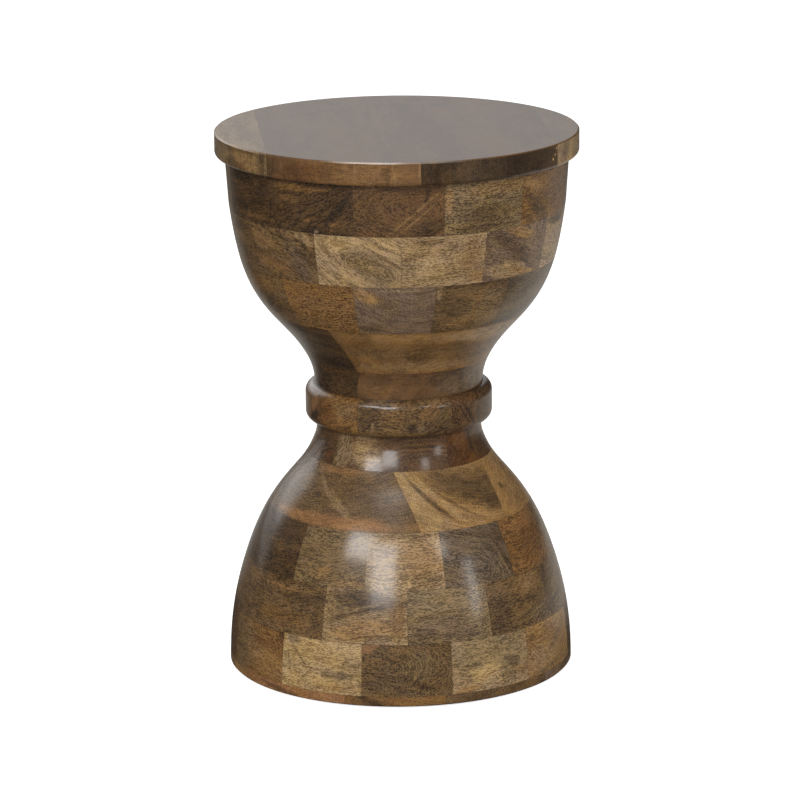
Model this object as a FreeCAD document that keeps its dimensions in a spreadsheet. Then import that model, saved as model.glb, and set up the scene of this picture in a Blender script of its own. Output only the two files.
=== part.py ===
import FreeCAD, Part
import Sketcher
import math
import os

# Side table in solid wood: a bowl on a bell, a collar round the waist and a flat round top.
# It is glued up from level courses of mitred blocks, with slabs of wide boards near the waist,
# and then turned as one outline. The origin is on the floor, on the turning axis.
# The front of the table faces -Y. Angles about the axis run from the front towards +X.

doc = FreeCAD.newDocument("side_table")

# Driving dimensions, in millimetres and degrees
sizes = [
    # heights of what is stacked, from the floor up
    ("pad_thickness", 2.0),
    ("base_thickness", 9.3),
    ("course_height", 47.5),
    ("lower_neck_height", 30.7),
    ("collar_height", 34.5),
    ("upper_neck_height", 25.7),
    ("bowl_floor_height", 45.8),
    ("top_thickness", 21.5),
    # radii at the foot and the rim, and at the waist below and above the collar
    ("bell_foot_radius", 159.0),
    ("bell_waist_radius", 75.8),
    ("bowl_waist_radius", 77.4),
    ("bowl_rim_radius", 156.8),
    ("foot_easing", 1.4),
    # the turned outline between the waist and its wide end, as shares of the way out: at each
    # joint between courses, and halfway up a course where the line bends most
    ("bell_low_share", 0.9447),
    ("bell_middle_share", 0.7969),
    ("bell_high_share", 0.5385),
    ("shoulder_share", 0.3269),
    ("bell_root_share", 0.1058),
    ("lower_neck_share", 0.0216),
    ("bowl_root_share", 0.0806),
    ("bowl_turn_share", 0.2783),
    ("bowl_low_share", 0.5365),
    ("bowl_middle_share", 0.8426),
    ("bowl_high_share", 0.9559),
    # collar and top
    ("collar_step", 8.6),
    ("collar_rounding", 8.5),
    ("top_overhang", 9.0),
    ("top_edge_easing", 1.3),
    ("top_under_rounding", 3.6),
    # mitred blocks: radial depth at the narrow end, and where the first joint of a course lies
    ("block_depth", 34.0),
    ("bowl_course_1_turn", 15.5),
    ("bowl_course_2_turn", 1.1),
    ("bowl_course_3_turn", 13.7),
    ("collar_ring_turn", 4.0),
    ("bell_course_1_turn", 16.8),
    ("bell_course_2_turn", 2.4),
    ("bell_course_3_turn", 17.0),
    # how far each slab of wide boards is turned
    ("top_board_turn", 4.8),
    ("bowl_floor_board_turn", -44.0),
    ("upper_neck_board_turn", 20.5),
    ("lower_neck_board_turn", 13.8),
    ("shoulder_board_turn", 35.0),
    ("base_board_turn", 0.0),
    # dowel through the collar, and felt pads under the base
    ("dowel_radius", 25.0),
    ("dowel_chamfer", 2.0),
    ("socket_depth", 18.0),
    ("socket_end_gap", 0.5),
    ("glue_gap", 0.12),
    ("pad_radius", 14.0),
    ("pad_inset", 38.0),
    ("overrun", 10.0),
]

# Radii and levels that follow from the driving dimensions
worked_out = [
    ("bell_swell", "=bell_foot_radius - bell_waist_radius"),
    ("bell_low_radius", "=bell_waist_radius + bell_low_share * bell_swell"),
    ("bell_middle_radius", "=bell_waist_radius + bell_middle_share * bell_swell"),
    ("bell_high_radius", "=bell_waist_radius + bell_high_share * bell_swell"),
    ("shoulder_radius", "=bell_waist_radius + shoulder_share * bell_swell"),
    ("bell_root_radius", "=bell_waist_radius + bell_root_share * bell_swell"),
    ("lower_neck_radius", "=bell_waist_radius + lower_neck_share * bell_swell"),
    ("bowl_swell", "=bowl_rim_radius - bowl_waist_radius"),
    ("bowl_root_radius", "=bowl_waist_radius + bowl_root_share * bowl_swell"),
    ("bowl_turn_radius", "=bowl_waist_radius + bowl_turn_share * bowl_swell"),
    ("bowl_low_radius", "=bowl_waist_radius + bowl_low_share * bowl_swell"),
    ("bowl_middle_radius", "=bowl_waist_radius + bowl_middle_share * bowl_swell"),
    ("bowl_high_radius", "=bowl_waist_radius + bowl_high_share * bowl_swell"),
    ("top_radius", "=bowl_rim_radius + top_overhang"),
    ("collar_radius", "=max(bowl_waist_radius; bell_waist_radius) + collar_step"),
    ("base_level", "=pad_thickness"),
    ("bell_3_level", "=base_level + base_thickness"),
    ("bell_2_level", "=bell_3_level + course_height"),
    ("bell_1_level", "=bell_2_level + course_height"),
    ("shoulder_level", "=bell_1_level + course_height"),
    ("lower_neck_level", "=shoulder_level + course_height"),
    ("collar_level", "=lower_neck_level + lower_neck_height"),
    ("upper_neck_level", "=collar_level + collar_height"),
    ("bowl_floor_level", "=upper_neck_level + upper_neck_height"),
    ("bowl_3_level", "=bowl_floor_level + bowl_floor_height"),
    ("bowl_2_level", "=bowl_3_level + course_height"),
    ("bowl_1_level", "=bowl_2_level + course_height"),
    ("top_level", "=bowl_1_level + course_height"),
    ("face_level", "=top_level + top_thickness"),
]

# Where the glued joints of each slab lie, left to right from the axis, as shares of the radius
# of its narrow end
top_joint_shares = (-0.7503, 0.044, 0.816)
bowl_floor_joint_shares = (-0.8473, 0.2983)
upper_neck_joint_shares = (-0.7661,)
lower_neck_joint_shares = (0.3562,)
shoulder_joint_shares = (-0.6265, 0.4492)
base_joint_shares = (-0.8937, -0.3195, 0.2547, 0.8289)

blocks_per_course = 12
pad_count = 4
axis_z = FreeCAD.Vector(0, 0, 1)

sheet = doc.addObject("Spreadsheet::Sheet", "Sizes")
for row, (alias, value) in enumerate(sizes + worked_out, start=1):
    sheet.set("A%d" % row, alias)
    sheet.set("B%d" % row, str(value))
    sheet.setAlias("B%d" % row, alias)
doc.recompute()

nodes = []


def size(alias):
    return float(sheet.get(alias))


def origin_plane(body, role):
    for feature in body.Origin.OriginFeatures:
        if feature.Role == role:
            return feature
    raise ValueError("no plane " + role)


def new_sketch(body, name, role):
    sketch = body.newObject("Sketcher::SketchObject", name)
    sketch.AttachmentSupport = (origin_plane(body, role), [""])
    sketch.MapMode = "FlatFace"
    return sketch


def point(radius, height):
    return FreeCAD.Vector(radius, height, 0)


def line(start, end):
    return Part.LineSegment(start, end)


def rounding(start, corner, end):
    # quarter turn between two edges that meet at a right angle in the corner
    centre = start + end - corner
    middle = centre + (corner - centre) * math.sqrt(1 / 2)
    return Part.Arc(start, middle, end)


def swept_line(points, first_way, last_way):
    # one smooth turned line through the radii at the course joints
    curve = Part.BSplineCurve()
    curve.interpolate(
        Points=points,
        InitialTangent=first_way,
        FinalTangent=last_way,
    )
    return curve


def turned_form(name, outline):
    # half section turned about the table's axis
    body = doc.addObject("PartDesign::Body", name)
    sketch = new_sketch(body, name + "_outline", "XZ_Plane")
    sketch.addGeometry(outline, False)
    turning = body.newObject("PartDesign::Revolution", name + "_turning")
    turning.Profile = sketch
    turning.ReferenceAxis = (sketch, ["V_Axis"])
    turning.Angle = 360
    body.Tip = turning
    return body


def keep(feature, name):
    feature.Label = name
    nodes.append(feature)
    return feature


# Outline of the bell, from the foot up to the collar, with the dowel's socket in its top

upward = FreeCAD.Vector(0, 1, 0)
base_level = size("base_level")
lower_neck_level = size("lower_neck_level")
collar_level = size("collar_level")
upper_neck_level = size("upper_neck_level")
top_level = size("top_level")
face_level = size("face_level")
course_height = size("course_height")
socket_radius = size("dowel_radius") + size("glue_gap")
foot_easing = size("foot_easing")
foot_radius = size("bell_foot_radius")

bell_points = [
    point(foot_radius, base_level + foot_easing),
    point(size("bell_low_radius"), size("bell_2_level")),
    point(size("bell_middle_radius"), size("bell_1_level")),
    point(size("bell_high_radius"), size("shoulder_level")),
    point(size("shoulder_radius"), size("shoulder_level") + course_height / 2),
    point(size("bell_root_radius"), lower_neck_level),
    point(size("lower_neck_radius"), lower_neck_level + size("lower_neck_height") / 2),
    point(size("bell_waist_radius"), collar_level),
]
foot_start = point(foot_radius - foot_easing, base_level)
bell_socket_floor = collar_level - size("socket_depth")
bell_form = turned_form("bell_form", [
    line(point(0, bell_socket_floor), point(0, base_level)),
    line(point(0, base_level), foot_start),
    line(foot_start, bell_points[0]),
    swept_line(bell_points, upward, upward),
    line(bell_points[-1], point(socket_radius, collar_level)),
    line(point(socket_radius, collar_level), point(socket_radius, bell_socket_floor)),
    line(point(socket_radius, bell_socket_floor), point(0, bell_socket_floor)),
])

# Outline of the bowl, from the collar up to the top, with the other socket in its underside

bowl_floor_height = size("bowl_floor_height")
bowl_points = [
    point(size("bowl_waist_radius"), upper_neck_level),
    point(size("bowl_root_radius"), size("bowl_floor_level")),
    point(size("bowl_turn_radius"), size("bowl_floor_level") + bowl_floor_height / 2),
    point(size("bowl_low_radius"), size("bowl_3_level")),
    point(size("bowl_middle_radius"), size("bowl_2_level")),
    point(size("bowl_high_radius"), size("bowl_1_level")),
    point(size("bowl_rim_radius"), top_level),
]
bowl_socket_roof = upper_neck_level + size("socket_depth")
bowl_form = turned_form("bowl_form", [
    line(point(0, top_level), point(0, bowl_socket_roof)),
    line(point(0, bowl_socket_roof), point(socket_radius, bowl_socket_roof)),
    line(point(socket_radius, bowl_socket_roof), point(socket_radius, upper_neck_level)),
    line(point(socket_radius, upper_neck_level), bowl_points[0]),
    swept_line(bowl_points, upward, bowl_points[-1] - bowl_points[-2]),
    line(bowl_points[-1], point(0, top_level)),
])

# Outline of the collar, a ring with both edges well rounded

collar_radius = size("collar_radius")
collar_rounding = size("collar_rounding")
low_round = point(collar_radius - collar_rounding, collar_level)
low_wall = point(collar_radius, collar_level + collar_rounding)
high_wall = point(collar_radius, upper_neck_level - collar_rounding)
high_round = point(collar_radius - collar_rounding, upper_neck_level)
collar_form = turned_form("collar_form", [
    line(point(socket_radius, collar_level), low_round),
    rounding(low_round, point(collar_radius, collar_level), low_wall),
    line(low_wall, high_wall),
    rounding(high_wall, point(collar_radius, upper_neck_level), high_round),
    line(high_round, point(socket_radius, upper_neck_level)),
    line(point(socket_radius, upper_neck_level), point(socket_radius, collar_level)),
])

# Outline of the round top, eased above and rounded below

top_radius = size("top_radius")
edge_easing = size("top_edge_easing")
under_rounding = size("top_under_rounding")
under_start = point(top_radius - under_rounding, top_level)
under_end = point(top_radius, top_level + under_rounding)
edge_start = point(top_radius, face_level - edge_easing)
edge_end = point(top_radius - edge_easing, face_level)
top_form = turned_form("top_form", [
    line(point(0, face_level), point(0, top_level)),
    line(point(0, top_level), under_start),
    rounding(under_start, point(top_radius, top_level), under_end),
    line(under_end, edge_start),
    line(edge_start, edge_end),
    line(edge_end, point(0, face_level)),
])
doc.recompute()


def wedge_blank(name, low_level, height, inner_flat, reach):
    # one block before turning: a mitred wedge at the front, inner_flat to reach from the axis
    half = math.pi / blocks_per_course
    body = doc.addObject("PartDesign::Body", name + "_blank")
    sketch = new_sketch(body, name + "_plan", "XY_Plane")
    sketch.setExpression("AttachmentOffset.Base.z", "Sizes." + low_level)
    near = inner_flat * math.tan(half)
    far = reach * math.tan(half)
    corners = [
        FreeCAD.Vector(-near, -inner_flat, 0),
        FreeCAD.Vector(near, -inner_flat, 0),
        FreeCAD.Vector(far, -reach, 0),
        FreeCAD.Vector(-far, -reach, 0),
    ]
    for start, end in zip(corners, corners[1:] + corners[:1]):
        sketch.addGeometry(line(start, end), False)
    rules = [Sketcher.Constraint("Coincident", side, 2, (side + 1) % 4, 1) for side in range(4)]
    rules += [
        Sketcher.Constraint("Symmetric", 0, 1, 0, 2, -2),
        Sketcher.Constraint("Symmetric", 2, 1, 2, 2, -2),
        Sketcher.Constraint("DistanceY", 0, 1, -1, 1, inner_flat),
        Sketcher.Constraint("DistanceY", 2, 1, -1, 1, reach),
        Sketcher.Constraint("DistanceX", 0, 1, 0, 2, 2 * near),
        Sketcher.Constraint("DistanceX", 2, 2, 2, 1, 2 * far),
    ]
    sketch.addConstraint(rules)
    pad = body.newObject("PartDesign::Pad", name + "_pad")
    pad.Profile = sketch
    pad.setExpression("Length", "Sizes." + height)
    body.Tip = pad
    return body


def block_course(name, form, low_level, height, inner_flat, reach):
    # the turned block, copied round the axis with its mitres face to face
    blank = wedge_blank(name, low_level, height, inner_flat, reach)
    block = doc.addObject("Part::Common", name + "_block")
    block.Base = blank
    block.Tool = form
    doc.recompute()
    step = 360 / blocks_per_course
    first = size(name + "_turn") + step / 2
    copies = []
    for count in range(blocks_per_course):
        copy = block.Shape.copy()
        copy.rotate(FreeCAD.Vector(0, 0, 0), axis_z, first + count * step)
        copies.append(copy)
    course = doc.addObject("Part::Feature", name)
    course.Shape = Part.makeCompound(copies)
    return keep(course, name)


def hollow_course(name, form, low_level, ends):
    # a course of blocks that leaves the middle of the bowl or the bell open
    radii = [size(end) for end in ends]
    inner_flat = min(radii) - size("block_depth")
    reach = max(radii) + size("overrun")
    return block_course(name, form, low_level, "course_height", inner_flat, reach)


def board_slab(name, form, low_level, height, ends, joint_shares):
    # edge-glued boards across the whole slab, numbered from the left
    radii = [size(end) for end in ends]
    reach = max(radii) + size("overrun")
    edges = [-reach] + [share * min(radii) for share in joint_shares] + [reach]
    rotation = FreeCAD.Rotation(axis_z, size(name + "_turn"))
    for number, (left, right) in enumerate(zip(edges, edges[1:]), start=1):
        blank = doc.addObject("Part::Box", "%s_%d_blank" % (name, number))
        blank.Length = right - left
        blank.Width = 2 * reach
        blank.setExpression("Height", "Sizes." + height)
        corner = rotation.multVec(FreeCAD.Vector(left, -reach, size(low_level)))
        blank.Placement = FreeCAD.Placement(corner, rotation)
        board = doc.addObject("Part::Common", "%s_%d" % (name, number))
        board.Base = blank
        board.Tool = form
        keep(board, "%s_%d" % (name, number))


# Round top of wide boards

board_slab("top_board", top_form, "top_level", "top_thickness", ["top_radius"], top_joint_shares)

# Bowl: three courses of blocks on a floor slab and a neck slab

bowl_courses = [
    ("bowl_course_1", "bowl_1_level", ["bowl_rim_radius", "bowl_high_radius"]),
    ("bowl_course_2", "bowl_2_level", ["bowl_high_radius", "bowl_middle_radius"]),
    ("bowl_course_3", "bowl_3_level", ["bowl_middle_radius", "bowl_low_radius"]),
]
for name, level, ends in bowl_courses:
    hollow_course(name, bowl_form, level, ends)
board_slab(
    "bowl_floor_board",
    bowl_form,
    "bowl_floor_level",
    "bowl_floor_height",
    ["bowl_low_radius", "bowl_root_radius"],
    bowl_floor_joint_shares,
)
board_slab(
    "upper_neck_board",
    bowl_form,
    "upper_neck_level",
    "upper_neck_height",
    ["bowl_root_radius", "bowl_waist_radius"],
    upper_neck_joint_shares,
)

# Collar: a ring of blocks bored for the dowel

collar_flat = size("dowel_radius") / 2
block_course(
    "collar_ring",
    collar_form,
    "collar_level",
    "collar_height",
    collar_flat,
    collar_radius + size("overrun"),
)

# Dowel through the collar, glued into a socket in each neck

dowel_blank = doc.addObject("Part::Cylinder", "waist_dowel_blank")
dowel_blank.setExpression("Radius", "Sizes.dowel_radius")
dowel_blank.setExpression(
    "Height", "Sizes.collar_height + 2 * (Sizes.socket_depth - Sizes.socket_end_gap)"
)
dowel_blank.setExpression(
    "Placement.Base.z", "Sizes.collar_level - Sizes.socket_depth + Sizes.socket_end_gap"
)
doc.recompute()
dowel = doc.addObject("Part::Chamfer", "waist_dowel")
dowel.Base = dowel_blank
dowel_chamfer = size("dowel_chamfer")
rims = [
    number
    for number, edge in enumerate(dowel_blank.Shape.Edges, start=1)
    if isinstance(edge.Curve, Part.Circle)
]
dowel.Edges = [(number, dowel_chamfer, dowel_chamfer) for number in rims]
keep(dowel, "waist_dowel")

# Bell: a neck slab and a shoulder slab on three courses of blocks

board_slab(
    "lower_neck_board",
    bell_form,
    "lower_neck_level",
    "lower_neck_height",
    ["bell_root_radius", "bell_waist_radius"],
    lower_neck_joint_shares,
)
board_slab(
    "shoulder_board",
    bell_form,
    "shoulder_level",
    "course_height",
    ["bell_high_radius", "bell_root_radius"],
    shoulder_joint_shares,
)
bell_courses = [
    ("bell_course_1", "bell_1_level", ["bell_high_radius", "bell_middle_radius"]),
    ("bell_course_2", "bell_2_level", ["bell_middle_radius", "bell_low_radius"]),
    ("bell_course_3", "bell_3_level", ["bell_low_radius", "bell_foot_radius"]),
]
for name, level, ends in bell_courses:
    hollow_course(name, bell_form, level, ends)

# Base boards that close the bell, and the felt pads under them

board_slab(
    "base_board",
    bell_form,
    "base_level",
    "base_thickness",
    ["bell_foot_radius"],
    base_joint_shares,
)

pad = doc.addObject("Part::Cylinder", "floor_pad")
pad.setExpression("Radius", "Sizes.pad_radius")
pad.setExpression("Height", "Sizes.pad_thickness")
pad.setExpression("Placement.Base.x", "Sizes.bell_foot_radius - Sizes.pad_inset")
doc.recompute()
pad_step = 360 / pad_count
pad_copies = []
for count in range(pad_count):
    copy = pad.Shape.copy()
    copy.rotate(FreeCAD.Vector(0, 0, 0), axis_z, pad_step * (count + 1 / 2))
    pad_copies.append(copy)
pads = doc.addObject("Part::Feature", "floor_pads")
pads.Shape = Part.makeCompound(pad_copies)
keep(pads, "floor_pads")

doc.recompute()

for thing in doc.Objects:
    if "Invalid" in thing.State or "Error" in thing.State:
        raise RuntimeError("failed to recompute: " + thing.Name)
for node in nodes:
    if node.Shape.isNull() or not node.Shape.isValid() or not node.Shape.Solids:
        raise RuntimeError("not a valid solid: " + node.Label)

os.makedirs("parts", exist_ok=True)
for node in nodes:
    node.Shape.exportStep("parts/%s.step" % node.Label)
print("nodes", len(nodes), "solids", sum(len(node.Shape.Solids) for node in nodes))
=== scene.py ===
import math

import bpy
from mathutils import Matrix

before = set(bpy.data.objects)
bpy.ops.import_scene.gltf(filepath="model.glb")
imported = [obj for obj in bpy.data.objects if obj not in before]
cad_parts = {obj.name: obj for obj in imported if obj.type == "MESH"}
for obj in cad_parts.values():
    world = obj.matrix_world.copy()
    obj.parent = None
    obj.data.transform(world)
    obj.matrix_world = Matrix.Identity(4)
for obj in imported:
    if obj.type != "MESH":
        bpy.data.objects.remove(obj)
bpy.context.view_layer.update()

print("frame loaded:", len(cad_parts), "nodes")


# the object's own colours are written as screen colours, 0 to 255
def tint(red, green, blue):
    def linear(value):
        share = value / 255
        return share / 12.92 if share <= 0.04045 else ((share + 0.055) / 1.055) ** 2.4
    return (linear(red), linear(green), linear(blue), 1.0)


# small helpers for node trees


def put(tree, kind, wires=None, **settings):
    node = tree.nodes.new(kind)
    for name, value in settings.items():
        setattr(node, name, value)
    for name, value in (wires or {}).items():
        socket = node.inputs[name]
        if isinstance(value, bpy.types.NodeSocket):
            tree.links.new(value, socket)
        else:
            socket.default_value = value
    return node


def calc(tree, operation, *values, clamp=False):
    wires = dict(enumerate(values))
    return put(tree, "ShaderNodeMath", wires, operation=operation, use_clamp=clamp).outputs[0]


def mixColour(tree, factor, first, second, how="MIX"):
    wires = {0: factor, 6: first, 7: second}
    node = put(tree, "ShaderNodeMix", wires, data_type="RGBA", blend_type=how)
    return node.outputs[2]


def mixValue(tree, factor, first, second):
    return put(tree, "ShaderNodeMix", {0: factor, 2: first, 3: second}).outputs[0]


def ramp(tree, value, low, high, lowOut=0.0, highOut=1.0):
    wires = {"Value": value, "From Min": low, "From Max": high, "To Min": lowOut, "To Max": highOut}
    return put(tree, "ShaderNodeMapRange", wires, interpolation_type="SMOOTHSTEP").outputs["Result"]


def vector(tree, x, y, z):
    return put(tree, "ShaderNodeCombineXYZ", {"X": x, "Y": y, "Z": z}).outputs[0]


def split(tree, place):
    return put(tree, "ShaderNodeSeparateXYZ", {0: place}).outputs


def noise(tree, place, detail, rough, distortion=0.0):
    wires = {"Vector": place, "Scale": 1.0, "Detail": detail, "Roughness": rough, "Distortion": distortion}
    return put(tree, "ShaderNodeTexNoise", wires).outputs


def sway(tree, value, amount, start, clamp=False):
    # a value's swing about its middle, added to a start
    return calc(tree, "MULTIPLY_ADD", calc(tree, "SUBTRACT", value, 0.5), amount, start, clamp=clamp)


def held(tree, value):
    # kept between 0 and 1
    return calc(tree, "MINIMUM", calc(tree, "MAXIMUM", value, 0.0), 1.0)


def reach(tree, first, second):
    # the length of two sides at a right angle
    square = calc(tree, "MULTIPLY", second, second)
    return calc(tree, "SQRT", calc(tree, "MULTIPLY_ADD", first, first, square))


def turned(tree, first, second, degrees):
    # two sides at a right angle, seen from a frame that is turned
    angle = calc(tree, "RADIANS", degrees)
    sine = calc(tree, "SINE", angle)
    cosine = calc(tree, "COSINE", angle)
    along = calc(tree, "MULTIPLY_ADD", first, cosine, calc(tree, "MULTIPLY", second, sine))
    back = calc(tree, "MULTIPLY", first, sine)
    return along, calc(tree, "SUBTRACT", calc(tree, "MULTIPLY", second, cosine), back)


def roundAxis(tree, x, y):
    # degrees round the axis from the front
    return calc(tree, "DEGREES", calc(tree, "ARCTAN2", x, calc(tree, "MULTIPLY", y, -1.0)))


def newGroup(name, inputs, outputs):
    # every socket is a value, but for the position
    group = bpy.data.node_groups.new(name, "ShaderNodeTree")
    for side, labels in (("INPUT", inputs), ("OUTPUT", outputs)):
        for label in labels:
            kind = "NodeSocketVector" if label == "Position" else "NodeSocketFloat"
            group.interface.new_socket(name=label, in_out=side, socket_type=kind)
    return group, group.nodes.new("NodeGroupInput").outputs


def give(group, values):
    out = group.nodes.new("NodeGroupOutput").inputs
    for label, value in values.items():
        group.links.new(value, out[label])
    return group


def useGroup(tree, group, wires):
    return put(tree, "ShaderNodeGroup", wires, node_tree=group).outputs


# where a point lies in a course of mitred blocks: all lengths in millimetres
def makeBlockPlace():
    group, given = newGroup(
        "block place",
        ("Position", "Turn", "Blocks"),
        ("Along", "Outward", "Height", "Block", "Angle", "Joint"),
    )
    parts = split(group, given["Position"])
    angle = roundAxis(group, parts["X"], parts["Y"])
    step = calc(group, "DIVIDE", 360.0, given["Blocks"])
    steps = calc(group, "DIVIDE", calc(group, "SUBTRACT", angle, given["Turn"]), step)
    within = calc(group, "FLOORED_MODULO", steps, given["Blocks"])
    number = calc(group, "FLOOR", within)
    share = calc(group, "SUBTRACT", within, number)
    middle = calc(group, "ADD", number, 0.5)
    facing = calc(group, "MULTIPLY_ADD", middle, step, given["Turn"])
    along, inward = turned(group, parts["X"], parts["Y"], facing)
    outward = calc(group, "MULTIPLY", inward, -1.0)
    nearer = calc(group, "MINIMUM", share, calc(group, "SUBTRACT", 1.0, share))
    gap = calc(group, "RADIANS", calc(group, "MULTIPLY", nearer, step))
    return give(group, {
        "Along": along,
        "Outward": outward,
        "Height": parts["Z"],
        "Block": calc(group, "DIVIDE", middle, given["Blocks"]),
        "Angle": angle,
        "Joint": calc(group, "MULTIPLY", gap, outward),
    })


# where a point lies in a slab of boards that is turned about the axis
def makeBoardPlace():
    group, given = newGroup("board place", ("Position", "Turn"), ("Along", "Across", "Height", "Angle"))
    parts = split(group, given["Position"])
    across, along = turned(group, parts["X"], parts["Y"], given["Turn"])
    angle = roundAxis(group, parts["X"], parts["Y"])
    return give(group, {"Along": along, "Across": across, "Height": parts["Z"], "Angle": angle})


# layers of noise in the wood: how fast each changes along the grain and across it, or its width,
# in millimetres, its detail and roughness, where its mask starts and ends, and what it adds
grain = {
    "wander": {"along": 0.022, "across": 0.03, "noise": (1.5, 0.4), "adds": 12.0},
    "ripple": {"along": 0.08, "across": 0.07, "noise": (2.0, 0.6), "adds": 2.4},
    "band": {"along": 0.012, "seed": 1.7, "noise": (3.0, 0.6), "mask": (0.32, 0.68)},
    "streak": {"along": 0.06, "seed": 2.3, "noise": (2.0, 0.55), "adds": 1.8},
    "patch": {"along": 0.03, "across": 0.06, "noise": (3.0, 0.6), "mask": (0.3, 0.7), "adds": 0.4},
    "drift": {"mask": (0.35, 0.65)},
    "dash": {"along": 0.1, "rise": 0.25, "width": 0.42, "noise": (1.5, 0.5), "adds": 3.0, "least": 0.3},
    "pore": {"along": 0.35, "width": 0.85, "noise": (2.0, 0.6), "mask": (0.58, 0.7)},
    "fibre": {"adds": 4.6, "least": 1.0},
}


# the figure of mango wood: rings about a pith, streaks and short dashes along the grain, open pores
def makeWoodFigure():
    group, given = newGroup(
        "wood figure",
        ("Along", "Across", "Height", "Seed", "Slant", "Plunge", "Pith Height", "Pith Depth",
         "Spacing", "Bands", "Streaks", "Flecks"),
        ("Tone", "Pores", "Drift"),
    )
    along, across, height, seed = (given[name] for name in ("Along", "Across", "Height", "Seed"))

    def down(name):
        # the way along the grain, moved by the seed
        return calc(group, "MULTIPLY_ADD", along, grain[name]["along"], seed)

    def layer(name, x, y, z):
        return noise(group, vector(group, x, y, z), *grain[name]["noise"])

    scale = grain["wander"]["across"]
    wander = layer(
        "wander",
        down("wander"),
        calc(group, "MULTIPLY", across, scale),
        calc(group, "MULTIPLY_ADD", height, scale, seed),
    )
    wander = split(group, wander["Color"])
    lifted = calc(group, "MULTIPLY_ADD", along, calc(group, "MULTIPLY", given["Slant"], -1.0), height)
    lifted = sway(group, wander["X"], grain["wander"]["adds"], lifted)
    sunk = calc(group, "MULTIPLY_ADD", along, calc(group, "MULTIPLY", given["Plunge"], -1.0), across)
    sunk = sway(group, wander["Y"], grain["wander"]["adds"], sunk)
    rise = calc(group, "SUBTRACT", lifted, given["Pith Height"])
    depth = calc(group, "SUBTRACT", sunk, given["Pith Depth"])
    ring = reach(group, rise, depth)
    scale = grain["ripple"]["across"]
    ripple = layer(
        "ripple",
        down("ripple"),
        calc(group, "MULTIPLY", across, scale),
        calc(group, "MULTIPLY", height, scale),
    )
    fine = sway(group, ripple[0], grain["ripple"]["adds"], ring)
    band = layer(
        "band",
        calc(group, "DIVIDE", ring, given["Spacing"]),
        down("band"),
        calc(group, "MULTIPLY", seed, grain["band"]["seed"]),
    )
    band = ramp(group, band[0], *grain["band"]["mask"])
    streak = layer("streak", fine, down("streak"), calc(group, "MULTIPLY", seed, grain["streak"]["seed"]))
    scale = grain["patch"]["across"]
    patches = layer(
        "patch",
        down("patch"),
        calc(group, "MULTIPLY", lifted, scale),
        calc(group, "MULTIPLY_ADD", sunk, scale, seed),
    )
    patch = ramp(group, patches[0], *grain["patch"]["mask"])
    dash = layer(
        "dash",
        calc(group, "DIVIDE", fine, grain["dash"]["width"]),
        down("dash"),
        calc(group, "MULTIPLY_ADD", lifted, grain["dash"]["rise"], seed),
    )
    grit = layer(
        "pore",
        calc(group, "DIVIDE", lifted, grain["pore"]["width"]),
        calc(group, "DIVIDE", sunk, grain["pore"]["width"]),
        down("pore"),
    )[0]
    tone = mixValue(group, given["Bands"], 0.5, band)
    tone = sway(group, patch, grain["patch"]["adds"], tone)
    streaks = calc(group, "MULTIPLY", given["Streaks"], grain["streak"]["adds"])
    tone = sway(group, streak[0], streaks, tone)
    dashes = calc(group, "MULTIPLY_ADD", given["Streaks"], grain["dash"]["adds"], grain["dash"]["least"])
    tone = sway(group, dash[0], dashes, tone)
    fibres = calc(group, "MULTIPLY_ADD", given["Streaks"], grain["fibre"]["adds"], grain["fibre"]["least"])
    tone = calc(group, "MULTIPLY_ADD", calc(group, "SUBTRACT", 0.5, grit), fibres, tone)
    pores = calc(group, "MULTIPLY", ramp(group, grit, *grain["pore"]["mask"]), given["Flecks"])
    drift = ramp(group, split(group, patches["Color"])["Y"], *grain["drift"]["mask"])
    return give(group, {"Tone": tone, "Pores": pores, "Drift": drift})


# the uneven edge of a mark and the fine lines in it, numbered the same way
markGrain = {
    "wave": {"side": 0.12, "rise": 0.18, "noise": (3.0, 0.6)},
    "line": {"along": 0.1, "width": 1.5, "bend": 9.0, "noise": (2.0, 0.6), "mask": (0.3, 0.7)},
}


# a soft-edged oval on the turned face, at an angle from the front and a height from the floor
def makeFaceMark():
    group, given = newGroup(
        "face mark",
        ("Angle", "Height", "Wave", "At Angle", "At Height", "Radius", "Half Width", "Half Height",
         "Lean", "Softness", "Wobble"),
        ("Mask", "Grain"),
    )
    sweep = calc(group, "RADIANS", calc(group, "SUBTRACT", given["Angle"], given["At Angle"]))
    side = calc(group, "MULTIPLY", sweep, given["Radius"])
    up = calc(group, "SUBTRACT", given["Height"], given["At Height"])
    level, cross = turned(group, side, up, given["Lean"])
    wide = calc(group, "DIVIDE", level, given["Half Width"])
    tall = calc(group, "DIVIDE", cross, given["Half Height"])
    far = calc(group, "MULTIPLY_ADD", given["Wave"], given["Wobble"], reach(group, wide, tall))
    inner = calc(group, "SUBTRACT", 1.0, given["Softness"])
    outer = calc(group, "ADD", 1.0, given["Softness"])
    line = markGrain["line"]
    bent = calc(group, "MULTIPLY_ADD", given["Wave"], line["bend"], cross)
    linePlace = vector(
        group,
        calc(group, "MULTIPLY", level, line["along"]),
        calc(group, "DIVIDE", bent, line["width"]),
        given["At Angle"],
    )
    lines = ramp(group, noise(group, linePlace, *line["noise"])[0], *line["mask"])
    return give(group, {"Mask": ramp(group, far, inner, outer, 1.0, 0.0), "Grain": lines})


blockPlace = makeBlockPlace()
boardPlace = makeBoardPlace()
woodFigure = makeWoodFigure()
faceMark = makeFaceMark()
print("shared node groups built")

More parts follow.
